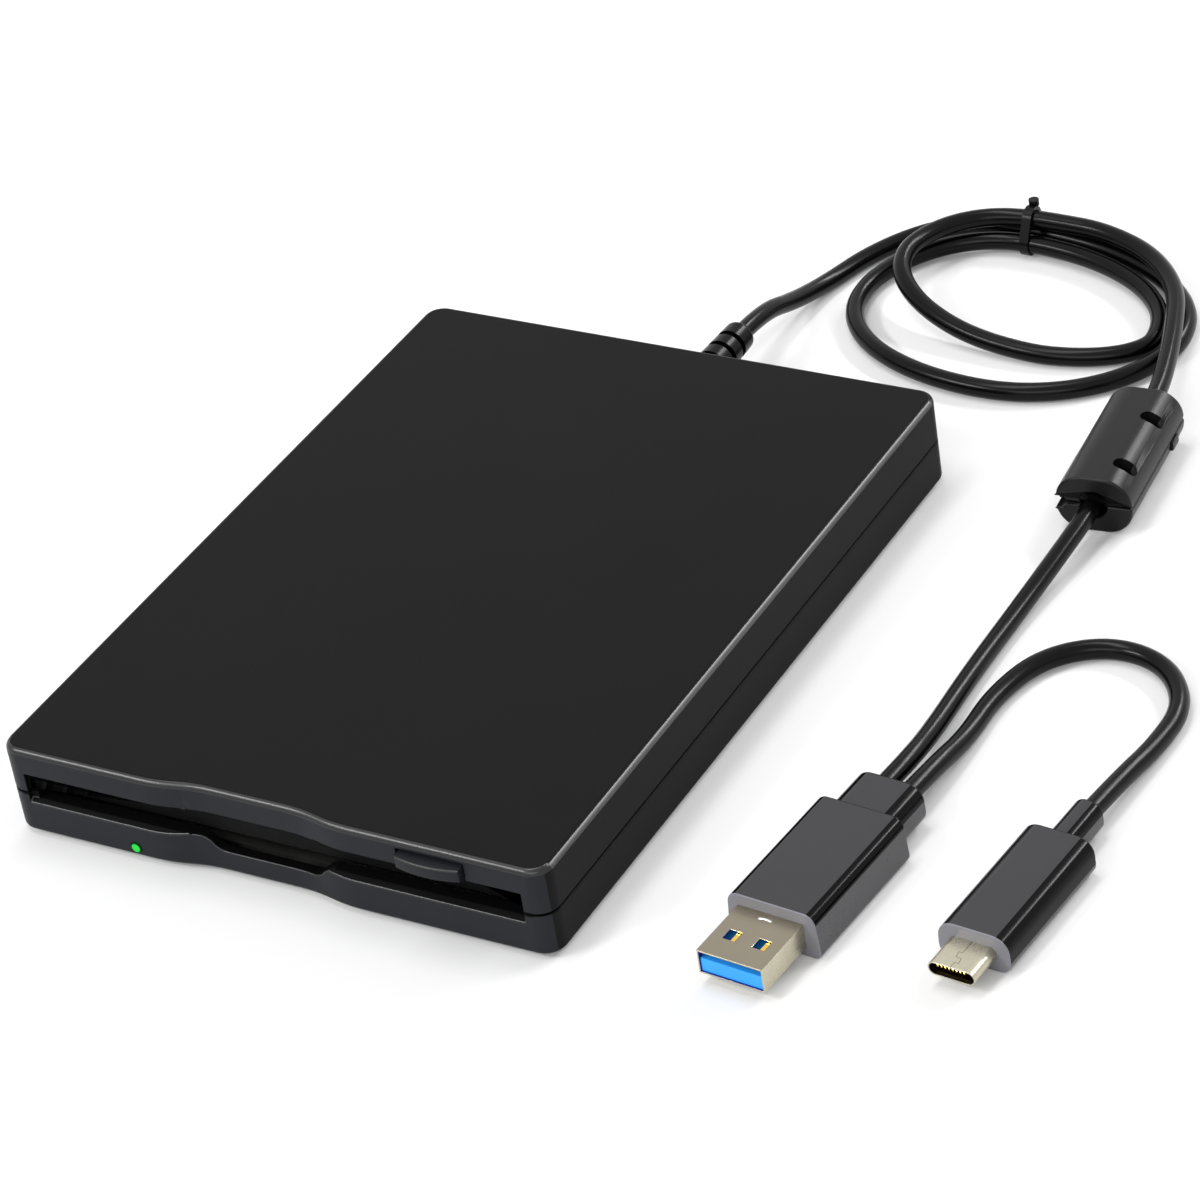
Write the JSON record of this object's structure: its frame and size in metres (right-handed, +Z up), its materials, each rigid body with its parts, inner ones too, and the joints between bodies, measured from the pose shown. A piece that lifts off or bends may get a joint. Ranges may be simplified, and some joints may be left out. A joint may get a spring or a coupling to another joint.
{
  "type": "floppy_drive",
  "caption": "Slim external floppy disk drive in a dark plastic case, with a looped black cord, a clip-on bead and two plugs.",
  "frame": {"origin": "middle of the case's outline on the surface that the drive stands on; the cord, bead and plugs lie to the rear and right of it", "axes": "+X to the right seen from the front, +Y to the rear, +Z up"},
  "size_m": [0.1744, 0.223, 0.0176],
  "materials": {
    "black_cover": "satin",
    "dark_cover": "satin",
    "button_plastic": "satin",
    "flap_plastic": "matte",
    "rubber": "matte",
    "green_lens": "gloss",
    "zinc_sheet": "satin",
    "steel": "satin",
    "screw_steel": "satin",
    "bearing_brass": "satin",
    "magnet": "matte",
    "copper": "satin",
    "circuit_board": "satin",
    "chip_black": "matte",
    "white_plastic": "satin",
    "wire": "satin",
    "ribbon": "satin",
    "carriage_plastic": "satin",
    "ceramic": "gloss",
    "cord_jacket": "gloss",
    "bead_plastic": "satin",
    "plug_plastic": "satin",
    "nickel_shell": "satin",
    "pale_shell": "satin",
    "blue_insert": "gloss",
    "gold": "gloss"
  },
  "bodies": {
    "drive": {"top_cover": "black_cover", "bottom_cover": "dark_cover", "rubber_pads": "rubber", "strain_relief": "rubber", "led_lens": "green_lens", "drive_chassis": "zinc_sheet", "top_shield": "zinc_sheet", "screw_bracket": "zinc_sheet", "rod_clamps": "zinc_sheet", "stepper_motor": "zinc_sheet", "eject_springs": "steel", "guide_rod": "steel", "case_screws": "screw_steel", "mechanism_screws": "screw_steel", "spindle_bearing": "bearing_brass", "bead_core_lower": "magnet", "stator_coils": "copper", "motor_board": "circuit_board", "logic_board": "circuit_board", "main_board": "circuit_board", "led_board": "circuit_board", "circuit_chips": "chip_black", "disk_switches": "chip_black", "cable_header": "white_plastic", "cable_wires": "wire", "ribbon_cable": "ribbon", "cord_lead": "cord_jacket", "cord_coil": "cord_jacket", "cord_run": "cord_jacket", "cord_pigtail": "cord_jacket", "cable_tie": "cord_jacket", "bead_case_lower": "bead_plastic", "plug_a_body": "plug_plastic", "plug_c_body": "plug_plastic", "plug_a_shell": "nickel_shell", "plug_c_shell": "pale_shell", "plug_a_insert": "blue_insert", "plug_a_contacts": "gold", "plug_c_contacts": "gold"},
    "flap": {"dust_flap": "flap_plastic"},
    "eject": {"eject_button": "button_plastic", "eject_slide": "steel"},
    "holder": {"disk_holder": "zinc_sheet", "lever_rivet": "steel"},
    "shutter_arm": {"shutter_lever": "steel"},
    "spindle": {"spindle_shaft": "steel", "rotor_plate": "steel", "rotor_magnet": "magnet", "hub_plate": "steel"},
    "screw": {"lead_screw": "steel"},
    "carriage": {"head_carriage": "carriage_plastic", "lower_head": "ceramic", "arm_pin": "steel"},
    "arm": {"upper_arm": "carriage_plastic", "upper_head": "ceramic"},
    "write_switch": {"write_switch_pin": "white_plastic"},
    "density_switch": {"density_switch_pin": "white_plastic"},
    "disk_switch": {"disk_switch_pin": "white_plastic"},
    "bead_lid": {"bead_case_upper": "bead_plastic", "bead_core_upper": "magnet"}
  },
  "joints": [
    {"name": "flap_swing", "type": "hinge", "parent": "drive", "child": "flap", "pos_m": [0, -0.06695, 0.01295], "axis": [1, 0, 0], "range_deg": [0, 80], "stiffness_Nm_per_rad": 0.0001},
    {"name": "eject_press", "type": "slide", "parent": "drive", "child": "eject", "axis": [0, 1, 0], "range_m": [-0.0035, 0]},
    {"name": "holder_lift", "type": "slide", "parent": "drive", "child": "holder", "axis": [0, 0, 1], "range_m": [-0.002, 0]},
    {"name": "shutter_turn", "type": "hinge", "parent": "holder", "child": "shutter_arm", "pos_m": [-0.033, 0.012, 0.0134], "axis": [0, 0, 1], "range_deg": [0, 55]},
    {"name": "spindle_turn", "type": "hinge", "parent": "drive", "child": "spindle", "pos_m": [0, -0.01, 0.0059], "axis": [0, 0, 1], "continuous": true},
    {"name": "screw_turn", "type": "hinge", "parent": "drive", "child": "screw", "pos_m": [-0.0145, 0.045, 0.0084], "axis": [0, 1, 0], "range_deg": [-1788, 0]},
    {"name": "head_step", "type": "slide", "parent": "drive", "child": "carriage", "axis": [0, 1, 0], "range_m": [-0.0149, 0]},
    {"name": "head_load", "type": "hinge", "parent": "carriage", "child": "arm", "pos_m": [0, 0.05, 0.0135], "axis": [1, 0, 0], "range_deg": [0, 11.5]},
    {"name": "write_press", "type": "slide", "parent": "drive", "child": "write_switch", "axis": [0, 0, 1], "range_m": [-0.0011, 0], "stiffness_N_per_m": 60, "springref_m": 0.0005},
    {"name": "density_press", "type": "slide", "parent": "drive", "child": "density_switch", "axis": [0, 0, 1], "range_m": [-0.0011, 0], "stiffness_N_per_m": 60, "springref_m": 0.0005},
    {"name": "disk_press", "type": "slide", "parent": "drive", "child": "disk_switch", "axis": [0, 0, 1], "range_m": [-0.0011, 0], "stiffness_N_per_m": 60, "springref_m": 0.0005},
    {"name": "bead_open", "type": "hinge", "parent": "drive", "child": "bead_lid", "pos_m": [0.07649, 0.07662, 0.0054], "axis": [0.0941, -0.9956, 0], "range_deg": [0, 100]}
  ],
  "couplings": [
    {"joint": "holder_lift", "follows": "eject_press", "ratio": 0.57143},
    {"joint": "head_load", "follows": "eject_press", "rad_per_m": -57.3},
    {"joint": "screw_turn", "follows": "head_step", "rad_per_m": 2094.4}
  ]
}
